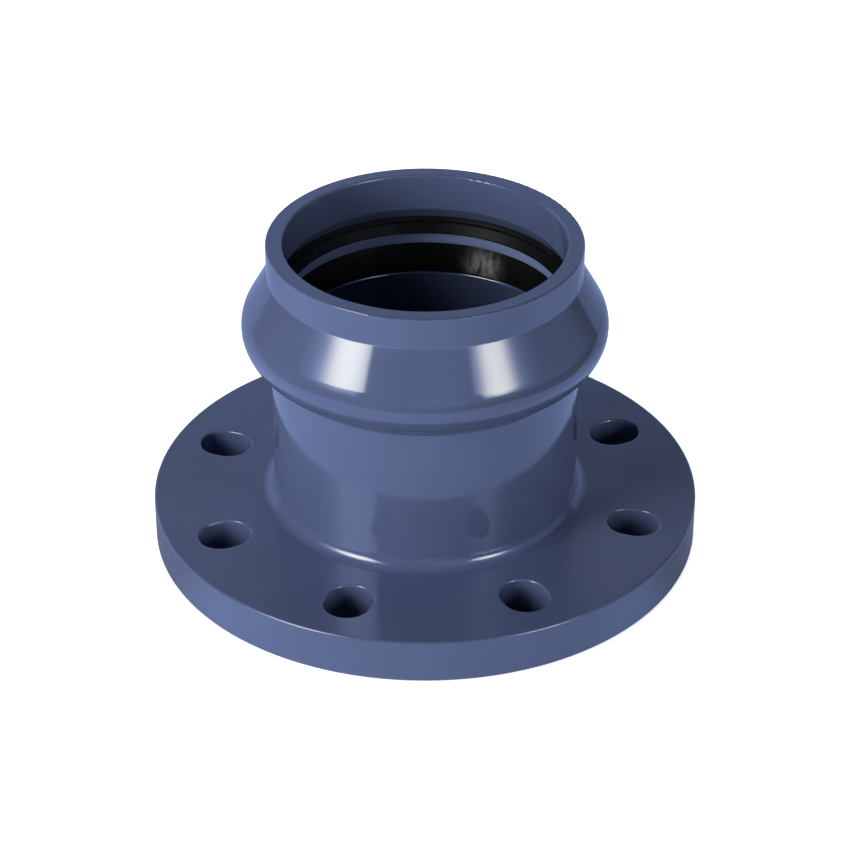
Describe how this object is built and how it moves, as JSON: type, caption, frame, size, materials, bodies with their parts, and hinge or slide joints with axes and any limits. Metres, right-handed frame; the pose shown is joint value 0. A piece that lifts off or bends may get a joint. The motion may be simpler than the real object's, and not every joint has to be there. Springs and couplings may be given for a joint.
{
  "type": "pipe flange",
  "caption": "Moulded plastic pipe flange with a push-fit socket, a rubber sealing ring, a locking ring and slotted bolt holes.",
  "frame": {"origin": "centre of the flange's sealing face, where it stands", "axes": "+Z along the pipe's axis, from the sealing face to the socket's mouth; a bolt slot lies on +X, and one every 45 degrees from it"},
  "size_m": [0.22, 0.22, 0.1296],
  "materials": {
    "moulded_pvc": "blue-grey rigid PVC, moulded, glossy",
    "ring_plastic": "blue-grey hard plastic, satin",
    "seal_rubber": "black moulded rubber, satin"
  },
  "bodies": {
    "root": {"flange_socket": "moulded_pvc", "locking_ring": "ring_plastic", "sealing_ring": "seal_rubber"}
  },
  "joints": []
}
